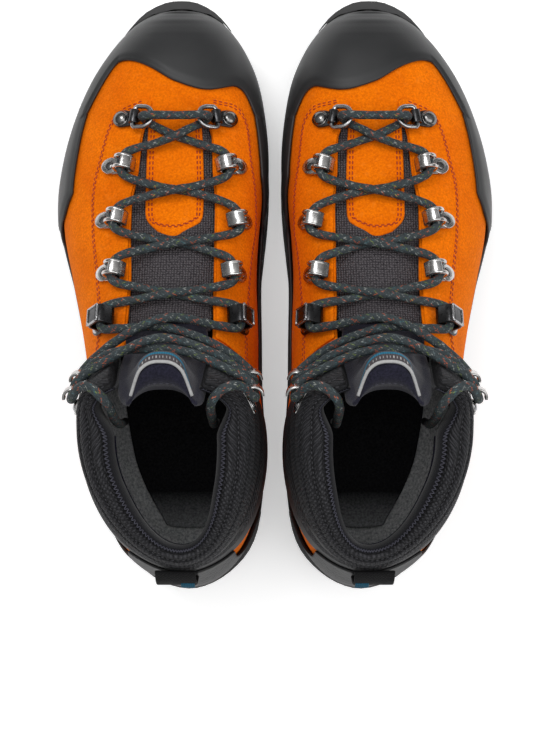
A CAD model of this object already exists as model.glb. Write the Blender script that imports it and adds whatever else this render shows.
"""Looks of the pair of mountaineering boots: every visible piece, built round the CAD frame.

Lengths are in millimetres in the frame's axes until place() scales them to metres. Each
builder makes the right boot's piece, and place() makes the pair by mirroring it in X = 0.
"""
import math

import bpy
import numpy as np
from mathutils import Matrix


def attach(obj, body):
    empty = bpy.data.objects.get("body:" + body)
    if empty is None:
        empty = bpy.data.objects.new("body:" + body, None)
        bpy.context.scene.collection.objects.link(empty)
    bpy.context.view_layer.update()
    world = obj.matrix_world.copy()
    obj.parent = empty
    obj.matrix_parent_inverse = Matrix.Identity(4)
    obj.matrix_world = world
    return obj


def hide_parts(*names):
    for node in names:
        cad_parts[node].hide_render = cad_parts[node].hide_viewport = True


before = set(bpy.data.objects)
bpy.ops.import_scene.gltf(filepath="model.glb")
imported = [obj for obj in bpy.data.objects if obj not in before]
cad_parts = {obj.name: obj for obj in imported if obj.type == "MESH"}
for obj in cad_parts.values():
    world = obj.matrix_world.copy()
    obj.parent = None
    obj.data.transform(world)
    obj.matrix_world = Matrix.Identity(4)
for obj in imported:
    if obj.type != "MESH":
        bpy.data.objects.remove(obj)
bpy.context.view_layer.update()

MM = 0.001
SIDES = {"right": 1, "left": -1}


def show(name, data):
    """Puts a new object with this data in the scene."""
    obj = bpy.data.objects.new(name, data)
    bpy.context.scene.collection.objects.link(obj)
    return obj


# ---- Driving sizes, as in the CAD part ----

LACE_D = 4.8
AGLET_LEN = 22
LEATHER_T = 2.2
COLLAR_T = 13.5
# The rand, and how far it stands off the form
RAND_T = 2.2
RAND_GAP = 0.9
# Fittings: how far out they sit, the D-ring's bar, plates and wire
SEAT = 2.5
HOOK_SEAT = 0.8
BAR_X = 7.5
HINGE_H = 2.6
PLATE_T = 1.2
WIRE_D = 2.4

# ---- Camera: straight down, high above the pair ----

CAMERA_AT = (0, -0.0186, 0.95)
CAMERA_SHIFT = -0.05
LENS = 84.475
SENSOR = 36


def camera():
    data = bpy.data.cameras.new("camera")
    cam = show("camera", data)
    bpy.context.scene.camera = cam
    cam.location = CAMERA_AT
    data.sensor_width = SENSOR
    data.lens = LENS
    data.shift_y = CAMERA_SHIFT
    data.clip_start, data.clip_end = 0.01, 20


camera()

# ---- The form: the same rows of sections as the CAD part ----

# V.y, V.z, D.y, D.z, half width, centre x at the widest place, centre x at the ridge
FORM = np.array([
    [147, 38, 147, 38.2, 0.4, 49.5, 49.5],
    [145.8, 31, 145.6, 46.5, 11.5, 49.5, 49.5],
    [143, 27, 142, 53.5, 19, 50, 49.5],
    [137, 24, 135, 60.5, 26.5, 50.5, 49.5],
    [127, 21, 124, 66.5, 34, 51.5, 50],
    [114, 18, 110, 71.5, 41, 53, 50],
    [97, 16, 93, 76.5, 46.5, 55, 50],
    [76, 15, 73, 83.5, 50.5, 57, 49.5],
    [52, 15, 51, 92.5, 52, 58.8, 49],
    [28, 17, 30, 103, 50.5, 59, 49],
    [2, 20, 12, 113, 47.5, 57, 49.5],
    [-28, 24, -2, 121.5, 45, 54, 50.5],
    [-60, 27, -10, 128.5, 43.5, 52, 51],
    [-92, 29, -15, 134, 44, 51, 51.5],
    [-122, 31, -19, 140, 44.5, 49.8, 52],
    [-143, 40, -21.5, 144.5, 44.5, 49.3, 52],
    [-148.5, 60, -23.5, 149, 44, 49.3, 52.5],
    [-145.5, 84, -26, 154, 42.5, 49.5, 53],
    [-138, 108, -29, 161, 41, 49.8, 53],
    [-131, 132, -33, 171, 39.5, 49.8, 53],
    [-128, 153, -37, 183, 38.3, 49.8, 53],
    [-127.5, 172, -43, 196, 38, 50, 53]], float)


def form_row(u):
    u = np.asarray(u, float)
    last = len(FORM) - 1
    i = np.clip(np.floor(u).astype(int), 0, last - 1)
    t = (u - i)[..., None]
    p1, p2 = FORM[i], FORM[i + 1]
    p0 = np.where((i == 0)[..., None], 2 * p1 - p2, FORM[np.clip(i - 1, 0, last)])
    p3 = np.where((i >= last - 1)[..., None], 2 * p2 - p1, FORM[np.clip(i + 2, 0, last)])
    return 0.5 * (2 * p1 + (p2 - p0) * t + (2 * p0 - 5 * p1 + 4 * p2 - p3) * t * t
                  + (p3 - p0 + 3 * p1 - 3 * p2) * t ** 3)


def smooth(x):
    c = np.clip(x, 0, 1)
    return c * c * (3 - 2 * c)


def step_up(x, a, b):
    return smooth((np.asarray(x, float) - a) / (b - a))


def bell(x, middle, half):
    """1 at the middle, falling smoothly to 0 a half width away."""
    return smooth(1 - np.abs(np.asarray(x, float) - middle) / half)


def turn(th):
    th = np.asarray(th, float)
    return np.where(th > 1, th - 2, th)


def form(u, th, d=0.0):
    """Points of the form at rows u and angles th, d inside its skin."""
    u, th, d = np.broadcast_arrays(np.asarray(u, float), turn(th), np.asarray(d, float))
    r = form_row(u)
    ay, az = r[..., 2] - r[..., 0], r[..., 3] - r[..., 1]
    long = np.maximum(np.hypot(ay, az), 0.001)
    dd = np.minimum(d, long / 2 - 0.05)
    vy, vz = r[..., 0] + ay / long * dd, r[..., 1] + az / long * dd
    dy, dz = ay * (1 - 2 * dd / long), az * (1 - 2 * dd / long)
    w = np.maximum(r[..., 4] - d, 0.1)
    lean = np.clip(np.arctan2(ay, az) / (np.pi / 2), 0, 1)
    k = smooth((lean - 0.25) / 0.33)
    k2 = np.clip((lean - 0.5) / 0.3, 0, 1)
    wide = 0.36 + 0.28 * np.minimum(lean, 0.5) + 0.18 * k2
    nt = 2.25 - 0.2 * k + 0.75 * k2
    nb = 5 - 3.1 * k
    a = np.abs(th) * np.pi
    front = a <= np.pi / 2 + 1e-12
    s, c = np.clip(np.sin(a), 0, 1), np.abs(np.cos(a))
    h = np.where(front, wide + (1 - wide) * c ** (2 / nt), wide - wide * c ** (2 / nb))
    x = w * s ** (2 / np.where(front, nt, nb))
    up = np.clip((h - wide) / (1 - wide), 0, 1)
    dn = np.clip((wide - h) / wide, 0, 1)
    cx = r[..., 5] + (r[..., 6] - r[..., 5]) * up * up - 6 * k * dn * dn
    nose = d * np.clip(1 - u / 3, 0, 1)
    return np.stack([cx + np.where(th < 0, -x, x), vy + dy * h - nose, vz + dz * h], -1)


def unit(v):
    return v / np.maximum(np.linalg.norm(v, axis=-1, keepdims=True), 1e-9)


def outward(u, th):
    """Unit normals of the form."""
    p = form(u, th)
    n = np.cross(form(u + 0.02, th) - p, form(u, th + 0.004) - p)
    away = p - form(u, th, 12)
    return unit(np.where(((n * away).sum(-1) < 0)[..., None], -n, n))


def seated(local, at, out):
    """Points laid on the form: x away from the throat, z outward, out above the leather."""
    u, th = at
    z = outward(u, th)
    away = 0.02 * np.sign(th)
    e = form(u, th + away) - form(u, th - away)
    x = unit(e - z * (e @ z))
    return form(u, th) + z * out + local @ np.array([x, np.cross(z, x), z])


def join_row(th):
    t = np.abs(turn(th))
    return 14.5 + 1.2 * step_up(t, 0.2, 0.5) + 2.9 * step_up(t, 0.5, 0.95)


def collar(th):
    t = np.abs(turn(th))
    return 5.5 + (COLLAR_T - 5.5) * step_up(t, 0.34, 0.48) - 4.5 * step_up(t, 0.65, 0.95)


# Places of the lace hardware as (row, angle)
RING_AT = {"medial": (6.3, -0.17), "lateral": (6.3, 0.162)}
LOOP_AT = [(7.48, -0.2), (7.48, 0.185), (8.76, -0.235), (8.76, 0.2),
           (10.15, -0.23), (10.15, 0.208)]
LOCK_AT = [(11.95, -0.255), (12.1, 0.235)]
HOOK_AT = [(17.1, -0.31), (17.1, 0.31), (19.3, -0.37), (19.3, 0.37)]

# ---- Meshes ----


class Shape:
    """Points and faces gathered from several parts, with a flat position for weaves."""

    def __init__(self):
        self.points, self.faces, self.flats, self.tints, self.count = [], [], [], [], 0

    def add(self, points, faces, flat=None, tint=(1, 1, 1)):
        points = np.reshape(points, (-1, 3))
        self.points.append(points)
        self.flats.append(points if flat is None else np.reshape(flat, (-1, 3)))
        self.tints.append(np.broadcast_to(tint, points.shape))
        self.faces += [tuple(i + self.count for i in f) for f in faces]
        self.count += len(points)
        return self

    def join(self, other):
        return self.add(other.all("points"), other.faces, other.all("flats"), other.all("tints"))

    def fix(self, part, at, out=SEAT, shift=(0, 0, 0)):
        """Adds a fitting that is seated on the form at a row and an angle."""
        points, faces = part
        return self.add(seated(points + np.array(shift), at, out), faces, points)

    def all(self, what):
        return np.vstack(getattr(self, what))


def grid(rows, cols):
    return np.meshgrid(rows, cols, indexing="ij")


def grid_faces(n, m):
    return [(i * m + j, (i + 1) * m + j, (i + 1) * m + j + 1, i * m + j + 1)
            for i in range(n - 1) for j in range(m - 1)]


def tube(rings, ends=True):
    """Points and faces of a solid through closed rings, or of an endless loop of them."""
    n, m = np.shape(rings)[:2]
    faces = [(i * m + j, i * m + (j + 1) % m, (i + 1) % n * m + (j + 1) % m, (i + 1) % n * m + j)
             for i in range(n - 1 if ends else n) for j in range(m)]
    if ends:
        faces += [tuple(range(m))[::-1], tuple(range((n - 1) * m, n * m))]
    return np.reshape(rings, (-1, 3)), faces


def arc_lengths(points):
    """Distances along the rows and along the columns of a grid of points."""
    down = np.linalg.norm(np.diff(points, axis=0), axis=-1)
    across = np.linalg.norm(np.diff(points, axis=1), axis=-1)
    v = np.vstack([np.zeros(points.shape[1]), np.cumsum(down, 0)])
    w = np.hstack([np.zeros((len(points), 1)), np.cumsum(across, 1)])
    w = w - w[:, -1:] / 2
    return np.stack([w, v, np.zeros_like(v)], -1)


def weld(outer, faces):
    """Joins the grid points that coincide. Returns kept points' indices and new faces."""
    _, first, back = np.unique(np.round(outer, 3), axis=0, return_index=True,
                               return_inverse=True)
    back = back.reshape(-1)
    merged = []
    for f in faces:
        g = [int(back[i]) for i in f]
        g = [v for k, v in enumerate(g) if v != g[k - 1]]
        if len(g) > 2:
            merged.append(tuple(g))
    return first, merged


def shell(outer, inner, rim=3, tint=(1, 1, 1)):
    """Closed solid between two grids of points, with half-round edges."""
    n, m = outer.shape[:2]
    keep, faces = weld(outer.reshape(-1, 3), grid_faces(n, m))
    o, i, flat, tint = (np.broadcast_to(values, (n, m, 3)).reshape(-1, 3)[keep]
                        for values in (outer, inner, arc_lengths(outer), tint))
    a, b, c = (o[[f[k] for f in faces]] for k in range(3))
    away = (o - i)[[f[0] for f in faces]]
    if (np.cross(b - a, c - b) * away).sum() < 0:
        faces = [f[::-1] for f in faces]
    count = len(o)
    edges = np.array([(f[k - 1], f[k]) for f in faces for k in range(len(f))])
    code, back = edges[:, 0] * count + edges[:, 1], edges[:, 1] * count + edges[:, 0]
    border = edges[~np.isin(back, code)]
    solid = Shape().add(o, faces, flat, tint).add(i, [f[::-1] for f in faces], flat, tint)
    thick = o - i
    size = np.linalg.norm(thick, axis=1, keepdims=True)
    out = np.zeros_like(o)
    for k in (0, 1):
        run = o[border[:, 1]] - o[border[:, 0]]
        np.add.at(out, border[:, k], np.cross(run, unit(thick)[border[:, k]]))
    ids, where = np.unique(border, return_inverse=True)
    where = where.reshape(border.shape)
    rings = [ids]
    for k in range(1, rim):
        angle = math.pi * k / rim
        ring = (o + i) / 2 + thick / 2 * math.cos(angle) + unit(out) * size / 2 * math.sin(angle)
        rings.append(np.arange(len(ids)) + solid.count)
        solid.add(ring[ids], [], flat[ids], tint[ids])
    rings.append(ids + count)
    for top, low in zip(rings, rings[1:]):
        solid.faces += [(int(top[q]), int(top[p]), int(low[p]), int(low[q])) for p, q in where]
    return solid


def skin(rows, cols, at, depth, thick):
    """Shell on the form. at(s, t) gives rows and angles, depth the outer skin's inset."""
    u, th = at(*grid(rows, cols))
    d = depth(u, th) if callable(depth) else depth
    return shell(form(u, th, d), form(u, th, d + thick))


def distances(line):
    """How far along a line each of its points is."""
    return np.concatenate([[0], np.cumsum(np.linalg.norm(np.diff(line, axis=0), axis=1))])


def spline(points, step):
    """Smooth line through points, cut into steps of nearly equal length."""
    p = np.asarray(points, float)
    chord = np.sqrt(np.linalg.norm(np.diff(p, axis=0), axis=1))
    t = np.concatenate([[0], np.cumsum(chord)])
    slope = np.gradient(p, t, axis=0)
    fine = np.linspace(0, t[-1], int(t[-1] * 40) + len(p) * 8)
    i = np.clip(np.searchsorted(t, fine, "right") - 1, 0, len(p) - 2)
    h = (t[i + 1] - t[i])[:, None]
    x = ((fine - t[i])[:, None]) / h
    line = ((2 * x ** 3 - 3 * x ** 2 + 1) * p[i] + (x ** 3 - 2 * x ** 2 + x) * h * slope[i]
            + (3 * x ** 2 - 2 * x ** 3) * p[i + 1] + (x ** 3 - x ** 2) * h * slope[i + 1])
    along = distances(line)
    want = np.linspace(0, along[-1], max(2, int(round(along[-1] / step)) + 1))
    return np.stack([np.interp(want, along, column) for column in line.T], 1)


def frames_along(line, start):
    """Side vectors carried along a line without twist, and the vectors across them."""
    heading = unit(np.gradient(line, axis=0))
    side = np.zeros_like(line)
    s = np.asarray(start, float)
    for k, h in enumerate(heading):
        s = side[k] = unit(s - h * (s @ h))
    return side, np.cross(heading, side)


def sweep(line, section, start=(0, 1, 0)):
    """Closed section (x along the side vector, y across it) swept along a line."""
    side, other = frames_along(line, start)
    return tube(line[:, None] + section[:, :1] * side[:, None] + section[:, 1:] * other[:, None])


def round_section(d, n=12):
    a = np.arange(n) * 2 * np.pi / n
    return np.stack([d / 2 * np.cos(a), d / 2 * np.sin(a)], 1)


def strap_section(w, t, r=0.35, n=3):
    """Rounded rectangle, w along x and t along y."""
    a = np.radians(np.concatenate([np.linspace(s, s + 90, n + 1) for s in (0, 90, 180, 270)]))
    sx = np.repeat([1, -1, -1, 1], n + 1) * (w / 2 - r)
    sy = np.repeat([1, 1, -1, -1], n + 1) * (t / 2 - r)
    return np.stack([sx + r * np.cos(a), sy + r * np.sin(a)], 1)


def lathe(profile, n=32):
    """Solid of revolution about z from (radius, height) pairs, from its bottom up."""
    circle = round_section(2, n)
    return tube([np.column_stack([r * circle, np.full(n, z)]) for r, z in profile])


def slab(outline, z0, z1, bevel=0.35):
    """Flat plate with softened edges, from an outline that runs anticlockwise."""
    run = np.roll(outline, -1, 0) - np.roll(outline, 1, 0)
    inward = unit(np.stack([-run[:, 1], run[:, 0]], 1))
    rings = [(bevel, z0), (0, z0 + bevel), (0, z1 - bevel), (bevel * 0.3, z1 - bevel * 0.3),
             (bevel, z1)]
    return tube([np.column_stack([outline + inward * b, np.full(len(outline), z)])
                 for b, z in rings])


# Stations of a stitch: share of its length, height and width in thread radii
STITCH = ((0, -0.9, 0.5), (0.15, 0.1, 0.95), (0.38, 0.62, 1), (0.62, 0.62, 1),
          (0.85, 0.1, 0.95), (1, -0.9, 0.5))


def stitch(a, b, lift, r):
    """One stitch from a to b: a little arch of thread standing out along lift."""
    side = unit(np.cross(lift, b - a))
    ring = round_section(2, 6) @ np.array([side, 0.8 * lift])
    return tube([a + (b - a) * t + lift * h * r + ring * w * r for t, h, w in STITCH])


def stitches(shape, line, normals, pitch=2.9, gap=0.8, r=0.32):
    """Adds a row of stitches along a line on a surface."""
    along = distances(line)
    count = max(1, int(along[-1] / pitch))
    ends = (np.arange(count)[:, None] + [0, 1]) * along[-1] / count + [gap / 2, -gap / 2]
    both = np.column_stack([line, normals]).T
    for a, b in np.stack([np.interp(ends, along, row) for row in both], -1):
        shape.add(*stitch(a[:3], b[:3], unit(a[3:] + b[3:]), r))


def build_mesh(name, shape, sign):
    mesh = bpy.data.meshes.new(name)
    faces = shape.faces if sign > 0 else [f[::-1] for f in shape.faces]
    mesh.from_pydata((shape.all("points") * (sign * MM, MM, MM)).tolist(), [], faces)
    mesh.shade_smooth()
    for key, values in (("flat", shape.all("flats") * MM), ("tint", shape.all("tints"))):
        attribute = mesh.attributes.new(key, "FLOAT_VECTOR", "POINT")
        attribute.data.foreach_set("vector", values.astype(np.float32).ravel())
    return mesh


def place(name, shape, material, body="boot", node=None):
    """Makes the right and the left piece, which ride on a body. A piece stands for the
    CAD node that it names, or that has its own name."""
    made = {}
    for side, sign in SIDES.items():
        mesh = build_mesh(f"{side}_{name}", shape, sign)
        mesh.materials.append(material)
        piece = show(mesh.name, mesh)
        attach(piece, f"{side}_{body}")
        replaced = f"{side}_{node or name}"
        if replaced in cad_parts:
            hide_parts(replaced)
        made[side] = piece
    return made


# ---- Materials ----


class Look:
    """The nodes of a new material, or of the world, and short calls for them."""

    def __init__(self, name, owner=None):
        self.owner = owner or bpy.data.materials.new(name)
        self.owner.use_nodes = True
        self.tree = self.owner.node_tree

    def plug(self, socket, value):
        if isinstance(value, bpy.types.NodeSocket):
            self.tree.links.new(value, socket)
        elif isinstance(value, tuple):
            socket.default_value = (*value, 1.0)
        else:
            socket.default_value = value

    def node(self, kind, *inputs, out=0, **given):
        """A node by kind, with its inputs in order, its settings and its named inputs."""
        n = self.tree.nodes.new("ShaderNode" + kind)
        for key, value in given.items():
            if hasattr(n, key):
                setattr(n, key, value)
            else:
                self.plug(n.inputs[key], value)
        for socket, value in zip(n.inputs, inputs):
            self.plug(socket, value)
        return n.outputs[out]

    def where(self):
        return self.node("TexCoord", out="Object")

    def painted(self, attribute):
        return self.node("Attribute", attribute_name=attribute, out="Vector")

    def noise(self, scale, detail=3, rough=0.6):
        return self.node("TexNoise", Vector=self.where(), Scale=scale, Detail=detail,
                         Roughness=rough)

    def axis(self, vector, letter):
        return self.node("SeparateXYZ", vector, out=letter)

    def ramp(self, value, low, high, a=0.0, b=1.0):
        return self.node("MapRange", value, low, high, a, b)

    def mix(self, factor, a, b, kind="MIX"):
        n = self.tree.nodes.new("ShaderNodeMix")
        n.data_type, n.blend_type = "RGBA", kind
        for number, value in ((0, factor), (6, a), (7, b)):
            self.plug(n.inputs[number], value)
        return n.outputs[2]

    def maths(self, how, *values):
        return self.node("Math", *values, operation=how)

    def finish(self, colour, rough, height, strength, depth, shine=0.2, **more):
        """Wires colour, roughness and bump, and any other shader inputs."""
        bump = self.node("Bump", Strength=strength, Distance=depth, Height=height)
        more = {key.replace("_", " "): value for key, value in more.items()}
        shader = self.tree.nodes["Principled BSDF"]
        for key, value in {"Base Color": colour, "Roughness": rough, "Normal": bump,
                           "Specular IOR Level": shine, **more}.items():
            self.plug(shader.inputs[key], value)
        return self.owner


def shade(colour, factor, extra=0.0):
    return tuple(c * factor + extra for c in colour)


def suede():
    look = Look("suede")
    nap = look.noise(900, 4, 0.65)
    fleck = look.noise(260, 2, 0.5)
    base = look.mix(look.ramp(look.noise(45), 0.3, 0.7), (0.85, 0.165, 0.0005),
                    (1.0, 0.225, 0.001))
    base = look.mix(look.ramp(nap, 0.36, 0.66, 0.0, 0.55), base, (0.50, 0.070, 0.0005))
    base = look.mix(look.ramp(fleck, 0.6, 0.8, 0.0, 0.4), base, (1.0, 0.27, 0.02))
    height = look.maths("ADD", nap, look.maths("MULTIPLY", fleck, 0.7))
    return look.finish(base, 0.92, height, 0.5, 0.0007, 0.08, Sheen_Weight=0.05,
                       Sheen_Roughness=0.5, Sheen_Tint=(1.0, 0.45, 0.05))


def rubber(name, colour, rough, shine=0.5, grain=0.15):
    look = Look(name)
    broad = look.noise(30, 4)
    dust = look.mix(look.ramp(broad, 0.35, 0.75, 0.0, 0.5), colour, shade(colour, 1.5, 0.006))
    return look.finish(dust, look.ramp(broad, 0.3, 0.7, rough - 0.06, rough + 0.08),
                       look.noise(1500, 2), grain, 0.0003, shine)


def textured_rubber():
    look = Look("heel_rubber")
    cell = look.node("TexVoronoi", Vector=look.painted("flat"), Scale=420.0)
    return look.finish((0.007, 0.007, 0.008), 0.62, look.ramp(cell, 0.0, 0.6), 0.6, 0.0006, 0.5)


def weave(name, dark, light, pitch):
    """Plain woven tape with a pitch in millimetres, drawn on the flat attribute."""
    look = Look(name)
    at = look.painted("flat")
    waves = [look.maths("SINE", look.maths("MULTIPLY", look.axis(at, letter),
                                           2 * math.pi / (pitch * MM))) for letter in "XY"]
    knit = look.ramp(look.maths("MULTIPLY", *waves), -0.6, 0.6, 0.0, 0.7)
    mixed = look.maths("ADD", knit, look.maths("MULTIPLY", look.noise(1300), 0.3))
    return look.finish(look.mix(look.ramp(mixed, 0.2, 0.8), dark, light), 0.9, mixed, 0.7, 0.0006)


def knotted(name, gap, thread, scale):
    """Coarse sandwich mesh: rows of raised knots over dark gaps, shaded by its tint."""
    look = Look(name)
    knots = look.node("TexVoronoi", Vector=look.painted("flat"), Scale=scale, Randomness=0.3)
    rise = look.ramp(knots, 0.12, 0.58, 1.0, 0.0)
    colour = look.mix(look.ramp(look.noise(1500), 0.35, 0.75, 0.0, 0.4),
                      look.mix(rise, gap, thread), shade(thread, 1.6))
    colour = look.mix(1.0, colour, look.painted("tint"), "MULTIPLY")
    return look.finish(colour, 0.8, rise, 1.0, 0.0011, 0.25)


def smooth_cloth(name, colour, light):
    """Close-woven stretch cloth with a faint nap."""
    look = Look(name)
    nap = look.noise(1100, 4, 0.7)
    mixed = look.mix(look.ramp(nap, 0.35, 0.75), colour, light)
    mixed = look.mix(look.ramp(look.noise(70, 3, 0.5), 0.3, 0.8, 0.0, 0.3), mixed, colour)
    return look.finish(mixed, 0.88, nap, 0.5, 0.0004, Sheen_Weight=0.12)


def felt_and_knit():
    """Lining: dark knit above, pale fleece down in the heel."""
    look = Look("lining")
    fuzz = look.noise(700, 4, 0.7)
    height = look.axis(look.where(), "Z")
    ragged = look.maths("ADD", height, look.ramp(look.noise(60), 0.0, 1.0, -0.01, 0.01))
    fleece = look.mix(look.ramp(fuzz, 0.35, 0.65), (0.3, 0.32, 0.33), (1.0, 1.0, 1.0))
    fleece = look.mix(look.ramp(height, 0.03, 0.055, 0.7, 0.0), fleece, (0.13, 0.135, 0.14))
    knit = look.mix(look.ramp(fuzz, 0.4, 0.75), (0.002, 0.002, 0.006), (0.012, 0.011, 0.028))
    colour = look.mix(look.ramp(ragged, 0.084, 0.087), fleece, knit)
    return look.finish(colour, 0.95, fuzz, 0.7, 0.0006, 0.1, Sheen_Weight=0.1)


def worn_footbed():
    """Felt that is paler under the heel."""
    look = Look("footbed_cloth")
    nap = look.noise(900, 4, 0.7)
    felt, dark = (look.mix(look.ramp(nap, 0.35, 0.7), low, high) for low, high in (
        ((0.14, 0.145, 0.15), (0.38, 0.39, 0.40)), ((0.004, 0.004, 0.005), (0.02, 0.02, 0.022))))
    colour = look.mix(look.ramp(look.axis(look.where(), "Y"), -0.126, -0.104), felt, dark)
    return look.finish(colour, 0.95, nap, 0.5, 0.0005, 0.1)


def metal(name, colour, rough):
    look = Look(name)
    grain = look.noise(500, 4)
    tone = look.mix(look.ramp(look.noise(120, 2, 0.5), 0.3, 0.7), shade(colour, 0.7), colour)
    return look.finish(tone, look.ramp(grain, 0.3, 0.7, rough - 0.08, rough + 0.12), grain,
                       0.075, 0.0002, 0.5, Metallic=1.0)


def braid():
    look = Look("lace_braid")
    fine = look.noise(1800, 2)
    colour = look.mix(look.ramp(fine, 0.4, 0.8, 0.0, 0.35), look.painted("tint"),
                      (0.14, 0.17, 0.18))
    return look.finish(colour, 0.75, fine, 0.3, 0.0003, 0.3)


def plain(name, colour, rough, shine=0.4):
    """Moulded or sheet material with a faint surface."""
    look = Look(name)
    fine = look.noise(900, 2, 0.5)
    tone = look.mix(look.ramp(fine, 0.3, 0.7), shade(colour, 0.82), colour)
    return look.finish(tone, rough, fine, 0.1, 0.0002, shine)


def tinted(name):
    """Cloth whose colour is painted on its points."""
    look = Look(name)
    wave = look.node("TexWave", Vector=look.painted("flat"), Scale=300.0, out="Fac")
    both = look.maths("MULTIPLY", look.maths("ADD", wave, look.noise(1500, 2)), 0.5)
    colour = look.mix(look.ramp(both, 0.3, 0.8, 0.0, 0.3), look.painted("tint"), (0.0, 0.0, 0.0))
    return look.finish(colour, 0.85, both, 0.4, 0.0003, 0.25)


SUEDE = suede()
RAND = rubber("rand_rubber", (0.016, 0.0165, 0.0175), 0.47, 0.4, 0.135)
SOLE = rubber("sole_rubber", (0.008, 0.008, 0.009), 0.55)
MIDSOLE = rubber("midsole_foam", (0.016, 0.016, 0.018), 0.6)
WELT = rubber("welt_rubber", (0.012, 0.012, 0.013), 0.42)
HEEL = textured_rubber()
MESH = knotted("tongue_mesh", (0.007, 0.006, 0.009), (0.16, 0.145, 0.155), 720.0)
COLLAR = knotted("collar_mesh", (0.0022, 0.0022, 0.003), (0.038, 0.038, 0.042), 470.0)
BINDING = smooth_cloth("collar_binding", (0.002, 0.002, 0.0035), (0.010, 0.010, 0.015))
TONGUE_CLOTH = smooth_cloth("tongue_cloth", (0.004, 0.004, 0.010), (0.022, 0.021, 0.042))
LINING = felt_and_knit()
FOOTBED = worn_footbed()
STRIP = plain("ankle_leather", (0.010, 0.0105, 0.012), 0.62, 0.3)
WEBBING = weave("webbing", (0.0012, 0.0012, 0.0015), (0.0065, 0.0065, 0.0075), 1.6)
STEEL = metal("satin_steel", (0.46, 0.46, 0.47), 0.24)
BRIGHT = metal("bright_steel", (0.58, 0.57, 0.56), 0.22)
GUNMETAL = metal("gunmetal", (0.07, 0.07, 0.073), 0.28)
RIVET = metal("rivet_steel", (0.22, 0.215, 0.21), 0.2)
BRAID = braid()
AGLET = plain("aglet_plastic", (0.012, 0.012, 0.013), 0.3, 0.6)
STIFFENER = plain("stiffener", (0.6, 0.6, 0.55), 0.7)
BOARD = plain("lasting_board", (0.42, 0.36, 0.26), 0.85)
THREAD_ORANGE = plain("orange_thread", (0.40, 0.035, 0.008), 0.7)
THREAD_WHITE = plain("white_thread", (0.06, 0.06, 0.08), 0.7)
THREAD_GREY = plain("grey_thread", (0.055, 0.055, 0.062), 0.75)
THREAD_PALE = plain("pale_piping", (0.42, 0.42, 0.42), 0.7)
LABEL = tinted("label_weave")
LABEL_BLUE = (0.008, 0.17, 0.29)
LABEL_GREY = (0.07, 0.06, 0.066)
LABEL_DOTS = (0.5, 0.5, 0.5)
TAG_BLUE = (0.004, 0.08, 0.14)

# ---- Lace ----

# Middle line of the lace, from the front crossing back on each side, and its loose tails
LACE_OUT = [
    (56, 89, 88.6), (62, 89, 89.6), (66.4, 89, 87), (66.7, 88.4, 82.6), (63.4, 86, 80.4),
    (57, 82.4, 81.6), (49.5, 79, 83.2), (38, 74.8, 85.6), (24.6, 69.2, 89.2),
    (22.8, 59.6, 91.4), (37, 53.4, 95.5), (48, 51, 99.2), (60, 48.6, 97.8),
    (78, 41.6, 99.8), (79.6, 32.4, 102.8), (61, 26, 107.4), (47, 24, 107.4),
    (34, 20.6, 108.8), (21.4, 15.2, 111.4), (20, 5.6, 113.6), (36, 1, 121.4),
    (50, -1, 127), (64, -3.6, 123.6), (83, -8.4, 122), (83, -17.4, 126.8),
    (74, -18, 133.6), (51.5, -17.4, 142), (27, -26.2, 142.8), (12, -37.6, 141.4),
    (10.4, -41, 142.6), (9.6, -42.8, 146.6), (11, -41, 151.6), (17, -36.6, 154.2),
    (27.5, -29.8, 158.2), (53, -22.4, 164.4), (80, -34.6, 165.8), (91, -43, 164),
    (92.3, -48.4, 166.6), (92.3, -50, 171), (91, -48.4, 175.8)]
LACE_IN = [
    (43, 89, 88.8), (38.2, 89, 90.4), (33.8, 89, 87.8), (33.8, 88.2, 83.4),
    (36.8, 86, 81.6), (42.5, 83, 84.6), (49.5, 79, 88.4), (59, 75.4, 87),
    (75.2, 69.4, 88.8), (76.6, 60, 91.8), (60, 53.2, 95), (48, 51, 94.2),
    (36, 48.4, 96.6), (19.2, 41, 98.4), (17.4, 31.2, 100), (34, 26.2, 107),
    (47, 24, 112.6), (60, 21.6, 110.8), (78, 15.6, 112.8), (79.2, 6.2, 115.6),
    (63, 1.4, 120.6), (50, -1, 121.8), (37, -3.6, 122.4), (17.4, -8.2, 118.8),
    (17, -17.2, 123.2), (26, -16.8, 130.6), (51.5, -13, 145), (75.5, -24.6, 144),
    (90.4, -38, 141.2), (91.7, -41.4, 142.4), (92.4, -43.5, 146.4), (91, -41.6, 151.6),
    (77, -30, 158), (53, -27.2, 163.2), (39, -29, 165.4), (26, -34.4, 166.4),
    (11.6, -42.4, 164), (9.3, -47.4, 166.6), (9, -49.2, 171), (11, -47.4, 175.8)]
TAIL_OUT = [(89.4, -46, 179.6), (85, -43.4, 185.4), (80.4, -45, 189), (76.4, -49, 188),
            (74, -53.4, 181), (73.6, -57.4, 170), (73.4, -60.6, 156), (73.4, -62.4, 143),
            (73.2, -63.4, 131)]
TAIL_IN = [(12.6, -45.4, 179.4), (17.2, -43.2, 185.4), (22.6, -44.6, 189), (27, -48.6, 188),
           (28.8, -53, 181), (28.8, -57, 170), (28.7, -60.4, 156), (28.8, -62.4, 143),
           (29, -63.4, 131)]
# From the outer tip through all the hardware to the inner tip
ROUTE = TAIL_OUT[::-1] + LACE_OUT[::-1] + [(49.5, 89, 88)] + LACE_IN + TAIL_IN

# Thickness the lace is drawn with, which is nearer to the photo's than the CAD lace's
LACE_SHOWN_D = 4.3
CHARCOAL = np.array([0.020, 0.027, 0.030])
# Bright strands of the braid: one family winds each way round it
FLECKS = {"out": {0: (0.55, 0.10, 0.02), 4: (0.02, 0.11, 0.13), 9: (0.30, 0.31, 0.29),
                  14: (0.17, 0.20, 0.19)},
          "back": {3: (0.50, 0.08, 0.015), 8: (0.33, 0.34, 0.31), 12: (0.18, 0.24, 0.04),
                   17: (0.14, 0.18, 0.19)}}


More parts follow.
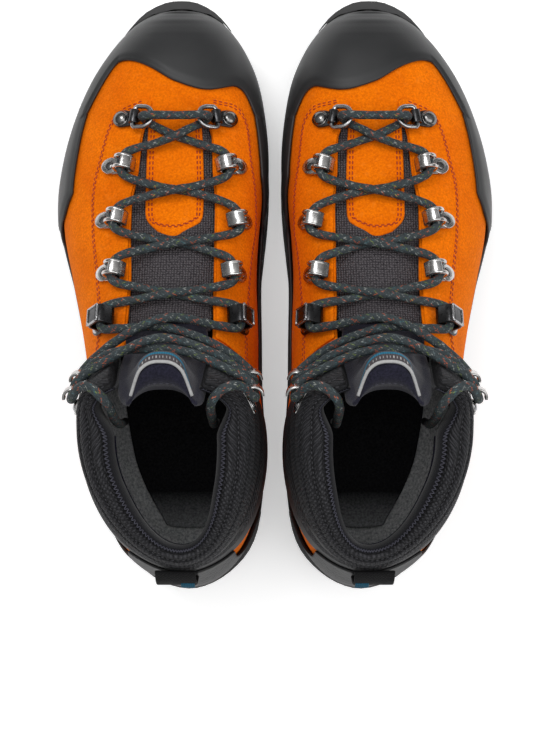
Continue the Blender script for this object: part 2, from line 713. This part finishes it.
def braid_tube(line, d, sides=40, turn_length=17.0, strands=20, relief=0.16):
    """Round braid: strands that cross over and under each other, some of them bright."""
    side, other = frames_along(line, (0, 1, 0))
    s, a = grid(distances(line), np.arange(sides) * 2 * np.pi / sides)
    lead = 2 * np.pi * s / turn_length
    one, two = (a + lead) * strands / (2 * np.pi), (a - lead) * strands / (2 * np.pi)
    over = (np.floor(one) + np.floor(two)) % 2 < 1
    ridge = np.sin(np.pi * (np.where(over, one, two) % 1))
    slow = 0.06 * np.sin(s * 0.23) + 0.05 * np.sin(s * 0.61 + 1)
    radius = d / 2 - relief + relief * ridge + slow
    points = (line[:, None] + (radius * np.cos(a))[..., None] * side[:, None]
              + (radius * np.sin(a))[..., None] * other[:, None])
    tint = CHARCOAL * (0.7 + 0.9 * ridge ** 2)[..., None]
    for turns, family, mask in ((one, "out", over), (two, "back", ~over)):
        for number, colour in FLECKS[family].items():
            tint[mask & (np.floor(turns) % strands == number) & (ridge > 0.25)
                 & (np.sin(s * 2.1 + number) > -0.1)] = colour
    return Shape().add(*tube(points), tint=tint.reshape(-1, 3))


def laces():
    """The lace of each boot runs from tip to tip through all its hardware."""
    line = spline(ROUTE, 0.45)
    made = place("lace", braid_tube(line, LACE_SHOWN_D), BRAID)
    tips = Shape()
    r = (LACE_D - 1) / 2
    points, faces = lathe([(r - 0.5, -AGLET_LEN), (r, 0.6 - AGLET_LEN), (r, 4 - AGLET_LEN),
                           (r - 0.12, 4.5 - AGLET_LEN), (r, 5 - AGLET_LEN), (r, -1),
                           (r + 0.15, 0)], 20)
    for end in (TAIL_OUT[-1], TAIL_IN[-1]):
        tips.add(points + np.array(end), faces)
    ends = place("aglets", tips, AGLET)


laces()

# ---- Leather, rubber and the tongue ----

# Rows where the leather starts at the toe and where the throat opens, and the rows behind
# the throat's start that the upper covers before it meets the collar
VAMP_ROW = 3.4
THROAT_ROW = 6
UPPER_ROWS = 8.5
# Share of those rows in which the throat rounds out to its full width
THROAT_RAMP = 0.03

# Edges of the throat as angles at rows, on the outer and the inner side
THROAT_ROWS = [6, 6.3, 6.69, 7.56, 8.32, 9.2, 10.35, 12.2, 14.5]
THROAT_EDGE = {1: [0.08, 0.095, 0.104, 0.111, 0.128, 0.131, 0.134, 0.145, 0.15],
               -1: [0.08, 0.1, 0.115, 0.113, 0.122, 0.128, 0.147, 0.165, 0.17]}


def throat_edge(u, side):
    return np.interp(u, THROAT_ROWS, THROAT_EDGE[side])


def upper():
    def at(s, t):
        ramp = np.sqrt(1 - (1 - np.clip(s / THROAT_RAMP, 0, 1)) ** 2)
        a, b = (throat_edge(THROAT_ROW + s * UPPER_ROWS, side) * ramp for side in (1, -1))
        th = a + t * (2 - a - b)
        rows = np.where(s < 0, UPPER_ROWS, join_row(th) - THROAT_ROW)
        return THROAT_ROW + s * rows, th

    def creases(u, th):
        side = np.abs(turn(th))
        flex = bell(u, 10.2, 2.6) * bell(side, 0.28, 0.16)
        ripple = np.sin(u * 7.5 + 9 * side) + 0.5 * np.sin(u * 13.1 - 14 * side + 1)
        soft = np.sin(u * 1.9 + 5 * side) * 0.25 * step_up(u, 7, 9)
        return 0.32 * flex * ripple + soft
    rows = np.concatenate([np.linspace((VAMP_ROW - THROAT_ROW) / UPPER_ROWS, 0, 30)[:-1],
                           np.linspace(0, 0.06, 22)[:-1], np.linspace(0.06, 1, 130)])
    piece = skin(rows, np.linspace(0, 1, 220), at, creases, LEATHER_T)
    place("upper", piece, SUEDE)


# How far the eyestay overlays stand out, and their outer edges as rows and angles
STAY_OUT = 1.35
STAY_OUTER = {
    1: [(5.68, 0.1), (5.76, 0.135), (5.94, 0.182), (6.38, 0.216), (7.25, 0.234),
        (7.72, 0.246), (8.3, 0.25), (9.69, 0.253), (10.84, 0.261), (11.87, 0.271), (13.4, 0.29)],
    -1: [(5.66, 0.11), (5.7, 0.16), (5.88, 0.24), (6.33, 0.276), (7.1, 0.283),
         (7.71, 0.309), (8.16, 0.328), (8.87, 0.35), (9.3, 0.336), (10.7, 0.324), (13.4, 0.31)]}


def between(side, count, across):
    """Rows and angles of a grid between an eyestay's inner and outer edges."""
    inner = [(5.7, 0.088), (5.8, 0.076)]
    inner += [(u, throat_edge(u, side) - 0.001)
              for u in (6.1, 6.5, 7, 7.6, 8.3, 9.2, 10.4, 12.2, 13.4)]
    edges = []
    for points in (inner, STAY_OUTER[side]):
        # angles are stretched so that both directions have about the same scale
        line = spline(np.array(points) * (1, 40), 0.02)
        pick = np.linspace(0, len(line) - 1, count)
        edges.append([np.interp(pick, np.arange(len(line)), column) for column in line.T])
    (u0, t0), (u1, t1) = edges
    share = np.broadcast_to(across, (count, np.shape(across)[-1]))
    return [a[:, None] * (1 - share) + b[:, None] * share
            for a, b in ((u0, u1), (side * t0 / 40, side * t1 / 40))]


def eyestays():
    overlay, seams = Shape(), Shape()
    for side in (1, -1):
        u, th = between(side, 150, np.linspace(0, 1, 22))
        overlay.join(shell(form(u, th, -STAY_OUT), form(u, th, -0.15)))
        for inset in (1.5, 3.2):
            u, th = between(side, 220, [0, 1])
            width = np.linalg.norm(form(u[:, 0], th[:, 0]) - form(u[:, 1], th[:, 1]), axis=1)
            share = np.clip(inset / np.maximum(width, 1), 0, 0.45)
            u, th = (edge[:, 1] * (1 - share) + edge[:, 0] * share for edge in (u, th))
            start = int(6 + inset * 3)
            stitches(seams, form(u, th, -STAY_OUT - 0.05)[start:], outward(u, th)[start:])
    place("eyestays", overlay, SUEDE)
    place("eyestay_seams", seams, THREAD_ORANGE)


# Edge of the toe cap: angle and row of its points
TOE_LINE = np.array([
    [-1, 6.2], [-0.42, 6.2], [-0.36, 6.2], [-0.31, 5.45], [-0.25, 5.18], [-0.2, 5.22],
    [-0.15, 5.3], [-0.094, 5.35], [-0.05, 5.27], [0, 5.1], [0.05, 4.78], [0.094, 4.55],
    [0.15, 4.36], [0.2, 4.26], [0.25, 4.24], [0.31, 4.36], [0.36, 6.2], [0.42, 6.2], [1, 6.2]])


# Top edges of the rand behind the toe cap, as rows and angles
RAND_EDGE = {1: ([6.2, 7, 8, 8.5, 8.8, 10, 13.2], [0.36, 0.35, 0.345, 0.4, 0.48, 0.56, 0.6]),
             -1: ([6.2, 7, 7.6, 8.1, 8.8, 10, 13.2], [0.36, 0.37, 0.39, 0.46, 0.52, 0.57, 0.6])}


def rand():
    """Rubber band round the boot with its toe cap, thinner towards its top edge."""
    def band(u, th, thinner):
        return shell(form(u, th, thinner - RAND_GAP - RAND_T), form(u, th, 0.3 - RAND_GAP), rim=4)
    s, th = grid(np.append(0, np.linspace(0.03, 1, 60)), np.linspace(0, 2, 240))
    side = turn(th)
    # averaged, so that the band meets the cap without a step
    line = sum(np.interp(side + k * 0.012, *TOE_LINE.T) for k in range(-2, 3)) / 5
    u = s * line
    taper = smooth((u - line + 0.32) / 0.32) * (np.abs(side) < 0.36)
    lips = 0.75 * bell(u, 1.0, 0.3) + 0.3 * bell(u, 2.1, 0.35) + 0.12 * bell(u, 3.0, 0.2)
    toe = band(u, th, 0.9 * taper - lips * bell(side, 0, 0.4))
    u, t = grid(np.linspace(6.05, 13.2, 90), np.linspace(0, 1, 110))
    a, b = (np.interp(u, *RAND_EDGE[side]) for side in (1, -1))
    th = a + t * (2 - a - b)
    near = np.minimum(th - a, 2 - b - th)
    toe.join(band(u, th, 0.9 * smooth(1 - near / 0.02)))
    place("rand", toe, RAND)


def heel_patch():
    """Rubber counter up the back of the heel, narrower at its top."""
    def at(s, t):
        th = 1 + (t - 1) * (1 - step_up(s, 0.82, 0.93) / 3)
        return THROAT_ROW + s * (join_row(th) - THROAT_ROW), th
    piece = skin(np.linspace(0.7, 0.985, 75), np.linspace(0.69, 1.31, 60), at, -2.8, 1.6)
    place("heel_patch", piece, HEEL)


def ankle_strip():
    def at(s, t):
        return join_row(t) - 0.25 + s * 1.3, t

    def crown(u, th):
        return -1.0 - 0.7 * np.sin(np.pi * (u - join_row(th) + 0.25) / 1.3)
    piece = skin(np.linspace(0, 1, 14), np.linspace(0.27, 1.73, 200), at, crown, 1.1)
    place("ankle_strip", piece, STRIP)


def tongue_base():
    def crown(u, th):
        return 3.4 - 2.1 * bell(th, 0, 0.14) + 0.25 * np.sin(u * 9)
    piece = skin(np.linspace(6.1, 12.5, 110), np.linspace(-0.155, 0.155, 60),
                 lambda s, t: (s, t), crown, 2.2)
    place("tongue_base", piece, MESH)


# Row where the patch on the tongue ends
PATCH_END = 9.1


def tongue_patch():
    def at(s, t):
        end = PATCH_END - np.where(t < 0, 0.35, 0.12) * t ** 2
        u = 6.05 + s * (end - 6.05)
        return u, t * (0.075 - 0.042 * step_up(u, 8.45, PATCH_END) ** 2) + 0.004
    piece = skin(np.linspace(0, 1, 90), np.linspace(-1, 1, 40), at, 1.0, 1.5)
    place("tongue_patch", piece, SUEDE)
    seams = Shape()
    for wide, far in ((0.9, 0.93), (0.78, 0.918)):
        down = np.linspace(0.06, far, 60)
        across = np.linspace(-wide, wide, 30)
        u, th = at(np.concatenate([down, np.full(30, far), down[::-1]]),
                   np.concatenate([np.full(60, -wide), across, np.full(60, wide)]))
        stitches(seams, form(u, th, 0.95), outward(u, th))
    place("patch_seams", seams, THREAD_ORANGE)


upper()
eyestays()
rand()
heel_patch()
ankle_strip()
tongue_base()
tongue_patch()

# ---- Tongue top, collar and lining ----

# The tongue above the ankle: its middle, half width and last row, then rows with the
# depths of its front, and rows with its thicknesses
TONGUE_X = 51.5
TONGUE_HALF = 17.5
TONGUE_END = 21
TONGUE_D = ([12.6, 14, 16, 18, 21], [4.2, 3.4, 2.2, 1.6, 1])
TONGUE_T = ([12.6, 14, 16, 18, 20.3, 21], [3, 6, 9, 11, 12, 7])


def tongue_at(u, t, d, lean=15.0):
    """Point of the tongue above the ankle; its middle leans forward at the top."""
    p = form(u, 0, d)
    top = step_up(u, 18.9, TONGUE_END)
    return np.stack([TONGUE_X - 1.6 * top + (TONGUE_HALF - 3 * top) * t,
                     p[..., 1] - 1.5 * t * t + lean * top * (1 - np.abs(t) ** 3),
                     p[..., 2] - 0.8 * t * t], -1)


def tongue_faces(u, t):
    """Front and back points of the padded tongue, quilted a little."""
    flap = 4.6 * step_up(np.abs(t), 0.62, 0.95) * step_up(u, 13, 15)
    quilt = 0.3 * np.sin(np.pi * (u - 12.4) / 2.15) ** 2 * (1 - t * t)
    front = tongue_at(u, t, np.interp(u, *TONGUE_D) + flap - quilt)
    back = tongue_at(u, t, np.interp(u, *TONGUE_D) + np.interp(u, *TONGUE_T), 8.0)
    return front, back


def tongue_rim(t, turned, lift):
    """Points over the tongue's rounded top edge: turned 0 at its front, pi at its back."""
    front, back = tongue_faces(np.full_like(t, TONGUE_END), t)
    half = (front - back) / 2
    size = np.linalg.norm(half, axis=-1, keepdims=True)
    turned = np.asarray(turned)[..., None]
    away = unit(half) * np.cos(turned) + np.array([0, 0, 1]) * np.sin(turned)
    return (front + back) / 2 + away * (size + lift), away


def tongue_top():
    u, t = grid(np.linspace(12.4, TONGUE_END, 90), np.linspace(-1, 1, 50))
    made = place("tongue_top", shell(*tongue_faces(u, t), rim=8), TONGUE_CLOTH,
                 body="tongue")


def tongue_label():
    """Woven band over the top edge with a pale piping, and a stitch line behind."""
    turned, t = grid(np.linspace(-0.5, 1.0, 24), np.linspace(-0.88, 0.88, 110))
    outer, inner = (tongue_rim(t, turned, lift)[0] for lift in (0.75, 0.05))
    dots = (np.abs(turned - 0.74) < 0.08) & (np.sin(t * 60) > 0.82)
    tint = np.where((turned < 0.42)[..., None], LABEL_BLUE, LABEL_GREY)
    tint = np.where(dots[..., None], LABEL_DOTS, tint)
    place("tongue_label", shell(outer, inner, tint=tint), LABEL, body="tongue")
    t = np.linspace(-0.93, 0.93, 90)
    line, _ = tongue_rim(t, np.full_like(t, 1.08), 0.5)
    piping = Shape().add(*sweep(line, round_section(1.5, 10), (0, 0, 1)))
    place("tongue_piping", piping, THREAD_PALE, body="tongue")
    seams = Shape()
    t = np.linspace(-0.85, 0.85, 120)
    stitches(seams, *tongue_rim(t, np.full_like(t, 2.6), 0.1), pitch=2.6, r=0.36)
    place("tongue_stitches", seams, THREAD_WHITE, body="tongue")


# Half width of the gap in front of the collar, as an angle
FLAP = 0.15
# Places q up and over the collar where it is stitched down flat
COLLAR_SEAMS = [0.0, 0.42, 0.8, 1.12, 1.4, 1.68]
# Row of the middle of its foam, and frames of the cloth simulation that blows it up
CORE_ROW = 19.4
PUFF_FRAMES = 20


def collar_profile(th, q):
    """Collar's padded section at angle th: q runs 0..1 up its outside, 1..2 over its top
    and 2..3 down its inside. Returns rows and depths."""
    foot, top, inner_foot, rise = join_row(th) + 0.1, 19.75, 17.4, 0.55
    up = np.clip(q, 0, 1)
    over = np.clip(q - 1, 0, 1) * np.pi
    down = np.clip(q - 2, 0, 1)
    u = foot + up * (top - foot) + rise * np.sin(over) - down * (top - inner_foot)
    return u, 0.4 * (1 - up) + collar(th) * (1 - np.cos(over)) / 2


def channel(q):
    """Height of the foam between the collar's seams, from 0 at a seam to 1."""
    a, b = np.array(COLLAR_SEAMS[:-1]), np.array(COLLAR_SEAMS[1:])
    share = np.clip((np.asarray(q)[..., None] - a) / (b - a), 0, 1)
    return np.sqrt(np.abs(np.sin(np.pi * share))).sum(-1)


def collar_core(th):
    """Points of the middle line of the collar's foam."""
    return form(CORE_ROW, th, collar(th) / 2)


def bulge(points, th):
    """Unit directions out of the collar's roll, away from its core."""
    away = points - collar_core(th)
    away[..., 2] = np.maximum(away[..., 2], 0)
    return unit(away)


def puff(points, faces, pinned, pressure, cap):
    """Blows a closed cloth up a little between its pinned seams, no further than cap."""
    mesh = bpy.data.meshes.new("puff")
    mesh.from_pydata((points * MM).tolist(), [], faces)
    obj = show("puff", mesh)
    scene = bpy.context.scene
    group = obj.vertex_groups.new(name="pin")
    group.add(np.flatnonzero(pinned).tolist(), 1.0, "REPLACE")
    cloth = obj.modifiers.new("cloth", "CLOTH")
    for key, value in {"quality": 6, "mass": 0.2, "tension_stiffness": 12,
                       "compression_stiffness": 12, "bending_stiffness": 0.3,
                       "use_pressure": True, "uniform_pressure_force": pressure,
                       "vertex_group_mass": "pin"}.items():
        setattr(cloth.settings, key, value)
    cloth.settings.effector_weights.gravity = 0
    cloth.point_cache.frame_start, cloth.point_cache.frame_end = 1, PUFF_FRAMES
    for number in range(1, PUFF_FRAMES + 1):
        scene.frame_set(number)
    shown = obj.evaluated_get(bpy.context.evaluated_depsgraph_get())
    shift = np.array([v.co for v in shown.data.vertices]) / MM - points
    scene.frame_set(1)
    bpy.data.objects.remove(obj)
    size = np.linalg.norm(shift, axis=1, keepdims=True)
    return points + shift * np.minimum(1, cap / np.maximum(size, 1e-9))


def round_collar(start, end, count):
    """Angles from one front end of the collar, round the heel, to the other."""
    return FLAP + np.linspace(start, end, count) * (2 - 2 * FLAP)


def on_collar(th, q):
    """Points of the collar's skin at angles th and places q round its section."""
    u, d = collar_profile(th, q)
    return form(u, th, d)


def cuff():
    """Padded collar: a closed roll of foam in mesh, quilted by seams along its length."""
    last = COLLAR_SEAMS[-1]
    q = np.concatenate([*(np.linspace(a, b, 8)[:-1]
                          for a, b in zip(COLLAR_SEAMS, COLLAR_SEAMS[1:])),
                        np.linspace(last, 2, 5)[:-1], np.linspace(2, 3, 9)])
    qq, th = np.meshgrid(q, round_collar(1, 0, 121))
    foam = channel(qq)
    rise = foam * (0.6 + 1.6 * step_up(np.abs(turn(th)), 0.2, 0.4))
    points = on_collar(th, qq)
    points = points + rise[..., None] * bulge(points, th)
    # the knit is laid along the roll, from its first end
    flat = arc_lengths(points[::-1].swapaxes(0, 1)).swapaxes(0, 1)[::-1]
    pinned = np.zeros(qq.shape, bool)
    pinned[:, [np.argmin(np.abs(q - seam)) for seam in COLLAR_SEAMS]] = True
    pinned[:, q >= last] = pinned[[0, -1]] = True
    points, faces = tube(points)
    points = puff(points, faces, pinned.ravel(), pressure=5.0, cap=1.6)
    shape = Shape().add(points, faces, flat, (0.45 + 0.9 * foam).reshape(-1, 1))
    for piece in place("cuff", shape, COLLAR).values():
        piece.modifiers.new("round", "SUBSURF").render_levels = 1
    seams = Shape()
    th = round_collar(0.02, 0.98, 300)
    for seam in COLLAR_SEAMS[2:5]:
        line = on_collar(th, seam)
        away = bulge(line, th)
        stitches(seams, line + away * 0.35, away, pitch=2.4, gap=0.7, r=0.26)
    place("collar_stitches", seams, THREAD_GREY)


def binding():
    """Smooth stretch binding rolled over the collar's inner edge, zigzag stitched."""
    q, th = grid(np.linspace(1.74, 2.9, 22), round_collar(0.004, 0.996, 260))
    inner = on_collar(th, q)
    normal = unit(np.cross(np.gradient(inner, axis=0), np.gradient(inner, axis=1)))
    turned_in = ((inner - collar_core(th)) * normal).sum(-1, keepdims=True) < 0
    normal = np.where(turned_in, -normal, normal)
    puffed = 1.0 + 0.8 * np.sin(np.pi * (q - 1.74) / 1.16)
    piece = shell(inner + normal * puffed[..., None], inner - normal * 0.3, rim=4)
    place("binding", piece, BINDING)
    zigzag = Shape()
    count = 230
    number = np.arange(count)[:, None]
    t = FLAP + 0.01 + (2 - 2 * FLAP - 0.02) * (number + [0.05, 0.95]) / count
    inside = (number + [0, 1]) % 2 == 0
    ends = on_collar(t, np.where(inside, 1.78, 1.68))
    away = unit(ends - collar_core(t))
    ends += away * np.where(inside, 1.5, 0.5)[..., None]
    for (a, b), lift in zip(ends, away.sum(1)):
        zigzag.add(*stitch(a, b, unit(lift), 0.24))
    place("binding_zigzag", zigzag, THREAD_WHITE)


def lining():
    def depth(u, th):
        j = join_row(th)
        return 5.7 + (collar(th) - 4.5) * step_up(u, j - 0.9, j - 0.1)

    def at(s, t):
        edge = (0.2 + 0.28 * step_up(s, 12, 15.4)) * step_up(s, 6.4, 7.4)
        return s, edge + t * (2 - 2 * edge)
    rows = np.concatenate([np.linspace(1.2, 6.4, 14)[:-1], np.linspace(6.4, 7.6, 12)[:-1],
                           np.linspace(7.6, 19.2, 70)])
    piece = skin(rows, np.linspace(0, 1, 150), at, depth, 1.4)
    place("lining", piece, LINING)


def footbed():
    def at(s, t):
        return s, 1 + t * 0.18 * (1 - 0.55 * step_up(s, 13, 14.6))

    def crown(u, th):
        return 8.6 + 0.8 * bell(th, 1, 0.15)
    piece = skin(np.linspace(3, 14.3, 70), np.linspace(-1, 1, 40), at, crown, 2.6)
    place("footbed", piece, FOOTBED)


def pull_loop():
    """Tape loop behind the collar, sewn down at both ends, with a small tag."""
    path = [(-131.2, 149.2), (-133.2, 147.4), (-136, 143.6), (-138, 138.4), (-139.2, 131.2),
            (-139.6, 124.6), (-139.4, 117.8), (-138.7, 112.8)]
    line = spline([(46.5, y, z) for y, z in path], 0.8)
    points, faces = sweep(line, strap_section(19, 1.5, 0.6), (1, 0, 0))
    flat = points.copy()
    flat[:, 1] = np.repeat(distances(line), len(points) // len(line))
    place("pull_loop", Shape().add(points, faces, flat), WEBBING)
    line = spline([(41, -137.6, 141.4), (41, -139.8, 138), (41, -140.6, 134)], 0.8)
    tag = Shape().add(*sweep(line, strap_section(6.5, 0.8, 0.3), (1, 0, 0)), tint=TAG_BLUE)
    place("loop_tag", tag, LABEL)


tongue_top()
tongue_label()
cuff()
binding()
lining()
footbed()
pull_loop()

# ---- Hardware ----


def stadium(length, r0, r1, n=10):
    """Outline round two circles, r0 at x = 0 and r1 at x = length, anticlockwise."""
    lean = math.asin((r0 - r1) / length)
    a = np.linspace(math.pi / 2 - lean, 3 * math.pi / 2 + lean, n)
    b = np.linspace(-math.pi / 2 + lean, math.pi / 2 - lean, n)
    return np.vstack([np.stack([r0 * np.cos(a), r0 * np.sin(a)], 1),
                      np.stack([length + r1 * np.cos(b), r1 * np.sin(b)], 1)])


def dome(r, h, base):
    """Domed rivet head on a small collar."""
    a = np.linspace(0.1, math.pi / 2 - 0.15, 6)
    cap = np.column_stack([r * 0.86 * np.cos(a), base + 0.6 + (h - 0.6) * np.sin(a)])
    return lathe([(r, base), (r + 0.05, base + 0.35), (r - 0.35, base + 0.6), *cap,
                  (0.01, base + h)])


def in_section(x, z):
    """Points in the middle plane of a fitting."""
    x, z = np.broadcast_arrays(x, z)
    return np.stack([x, np.zeros(x.shape), z], -1)


def ring_clips():
    """Strap that folds over the ring's bar, on a plate under its rivet."""
    clips = Shape()
    r = WIRE_D / 2 + 0.85
    a = np.radians(np.linspace(-60, 200, 18))
    fold = in_section(-BAR_X - r * np.cos(a), HINGE_H + r * np.sin(a))
    for at in RING_AT.values():
        clips.fix(slab(stadium(6.6, 3.6, 4.7), 0, PLATE_T), at, shift=(-6.6, 0, 0))
        clips.fix(sweep(spline(fold, 0.5), strap_section(7, 1.1, 0.3)), at)
    place("ring_clips", clips, GUNMETAL)


def d_rings():
    """Wire rings: a straight bar in the clip, legs and a half round."""
    r, reach, corner = 5.6, 4.4, 1.0
    a = np.linspace(-math.pi / 2, math.pi / 2, 24)
    bow = np.stack([-reach - r * np.cos(a), r * np.sin(a)], 1)
    loop = np.vstack([(-corner, -r), bow, (-corner, r), (0, r - corner), (0, corner - r),
                      (-corner, -r)])
    line = spline(np.column_stack([loop, np.zeros(len(loop))]), 0.5)[:-1]
    up = np.array([0, 0, 1.0])
    side = np.cross(up, unit(np.roll(line, -1, 0) - np.roll(line, 1, 0)))
    section = round_section(WIRE_D, 14)
    wire = tube(line[:, None] + section[:, :1] * side[:, None] + section[:, 1:] * up, ends=False)
    for name, body, at in (("medial", "inner_ring", RING_AT["medial"]),
                           ("lateral", "outer_ring", RING_AT["lateral"])):
        ring = Shape().fix(wire, at, shift=(-BAR_X, 0, HINGE_H))
        place(f"d_ring_{name}", ring, STEEL, body=body, node=f"ring_{name}")


def loop_eyelets():
    """Cast clips: a waisted plate with its rivet, two arms and a bar that holds the lace."""
    shape = Shape()
    centre, r = -9.6, (LACE_D + 1.6) / 2 + WIRE_D / 2
    a = np.linspace(0, np.pi, 24)
    arch = in_section(centre + r * np.cos(a), PLATE_T + LACE_D / 2 + 0.4 + r * np.sin(a))
    near, far = in_section([centre + r, centre - r], PLATE_T - 0.3)
    arm = sweep(spline(np.vstack([near, arch, far]), 0.6), round_section(1.9, 10))
    bar = sweep(spline(np.vstack([arch[13:], far]), 0.6), strap_section(7.2, 1.7, 0.7, 4))
    for at in LOOP_AT:
        shape.fix(slab(stadium(9.8, 4.4, 4.3, 12), 0, PLATE_T), at, shift=(-9.8, 0, 0))
        shape.fix(slab(stadium(1.2, 4.5, 3.9, 12), 0.1, PLATE_T + 0.6, 0.45), at,
                  shift=(-0.6, 0, 0))
        for y in (-2.9, 2.9):
            shape.fix(arm, at, shift=(0, y, 0))
        shape.fix(bar, at)
    place("eyelets", shape, BRIGHT)


def ankle_locks():
    """Square loops of folded sheet, each with a bright wire frame on its face."""
    shape, frames = Shape(), Shape()
    centre, w = -7, LACE_D + 1.4
    half = w / 2 + 1.5
    corners = in_section(centre + np.array([half, half, half - 1.4, 1.4 - half, -half, -half]),
                         [0.9, w + 1.6, w + 3, w + 3, w + 1.6, 0.9])
    line = np.vstack([np.linspace(p, q, 5)[:-1] for p, q in zip(corners, corners[1:])]
                     + [corners[-1:]])
    fold = sweep(line, strap_section(9.4, 1.4))
    square = np.array([(-4.2, -4.2), (4.2, -4.2), (4.2, 4.2), (-4.2, 4.2), (-4.2, -4.2)])
    for at in LOCK_AT:
        shape.fix(slab(stadium(9.5, 4.5, 4.2), 0, PLATE_T), at, shift=(centre, 0, 0))
        shape.fix(fold, at)
        for p, q in zip(square, square[1:]):
            edge = np.column_stack([np.linspace(p, q, 6) + (centre, 0), np.full(6, w + 3.6)])
            frames.fix(sweep(edge, round_section(1.1, 8), (0, 0, 1)), at)
    place("ankle_locks", shape, GUNMETAL)
    place("lock_frames", frames, STEEL)


def cuff_hooks():
    """Open hooks: a plate whose end curls back over the lace."""
    shape = Shape()
    back, r = -3.2, LACE_D / 2 + 1.4
    a = np.radians(np.linspace(180, 60, 16))
    curl = in_section(back + r - 0.4 + r * np.cos(a), PLATE_T + r - 0.8 + r * np.sin(a))
    line = spline(np.vstack([(back - 0.3, 0, PLATE_T - 0.4), curl]), 0.5)
    for at in HOOK_AT:
        shape.fix(slab(stadium(7.4, 3.6, 4.1), 0, PLATE_T), at, HOOK_SEAT, (back, 0, 0))
        shape.fix(sweep(line, strap_section(4.4, 1.4, 0.5)), at, HOOK_SEAT)
    place("cuff_hooks", shape, BRIGHT)


def rivets():
    dark, bright = Shape(), Shape()
    for shape, places, head, out, x in (
            (dark, RING_AT.values(), dome(4.3, 2.7, PLATE_T - 0.1), SEAT, 0.6),
            (dark, LOOP_AT, dome(2.6, 1.2, PLATE_T + 0.3), SEAT, 0),
            (bright, LOCK_AT, dome(3.2, 1.8, PLATE_T - 0.1), SEAT, 2.5),
            (bright, HOOK_AT, dome(3.1, 1.7, PLATE_T - 0.1), HOOK_SEAT, 4)):
        for at in places:
            shape.fix(head, at, out, (x, 0, 0))
    place("rivets", dark, RIVET)
    place("rivets_bright", bright, STEEL)


ring_clips()
d_rings()
loop_eyelets()
ankle_locks()
cuff_hooks()
rivets()

# ---- CAD nodes that stay ----


def carry_over():
    looks = {"outsole": SOLE, "midsole": MIDSOLE, "toe_welt": WELT, "heel_welt": WELT,
             "lasting_board": BOARD, "shank": STEEL, "toe_puff": STIFFENER,
             "heel_counter": STIFFENER}
    for side in SIDES:
        for name, material in looks.items():
            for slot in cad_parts[f"{side}_{name}"].material_slots:
                slot.material = material


carry_over()

# ---- Floor and light ----

# Strength of the world light
SKY = 0.6
# Area lights: place, size and power. Each of them faces the point AIM.
AIM = np.array([0, 0, 0.1])
LIGHTS = {"key": ((-0.5, 0.9, 1.6), 0.7, 11), "fill": ((0.9, -0.2, 1.3), 0.9, 6),
          "top": ((0, 0.1, 1.9), 1.1, 8)}
FLOOR_HALF = 12.0


def white_floor():
    mesh = bpy.data.meshes.new("floor")
    s = FLOOR_HALF
    mesh.from_pydata([(-s, -s, 0), (s, -s, 0), (s, s, 0), (-s, s, 0)], [], [(0, 1, 2, 3)])
    floor = show("floor", mesh)
    look = Look("floor")
    mesh.materials.append(look.finish((0.94, 0.94, 0.94), 0.9, height=0.0, strength=0.0,
                                      depth=0.0, shine=0.0, Emission_Color=(1.0, 1.0, 1.0),
                                      Emission_Strength=0.4))


def sky():
    """World light that fades from full overhead to a fifth at the horizon."""
    world = bpy.data.worlds.new("studio")
    bpy.context.scene.world = world
    look = Look("sky", world)
    height = look.axis(look.node("TexCoord", out="Generated"), "Z")
    background = look.tree.nodes["Background"]
    look.plug(background.inputs["Color"], look.ramp(height, 0.2, 1.0, 0.22, 1.0))
    look.plug(background.inputs["Strength"], SKY)


def studio():
    scene = bpy.context.scene
    scene.view_settings.view_transform = "Standard"
    scene.view_settings.look = "None"
    white_floor()
    sky()
    for name, (at, size, power) in LIGHTS.items():
        data = bpy.data.lights.new(name, "AREA")
        data.shape, data.size, data.energy = "SQUARE", size, power
        lamp = show(name, data)
        lamp.location = at
        x, y, z = np.array(at) - AIM
        lamp.rotation_euler = (math.atan2(math.hypot(x, y), z), 0, math.atan2(y, x) + math.pi / 2)


studio()
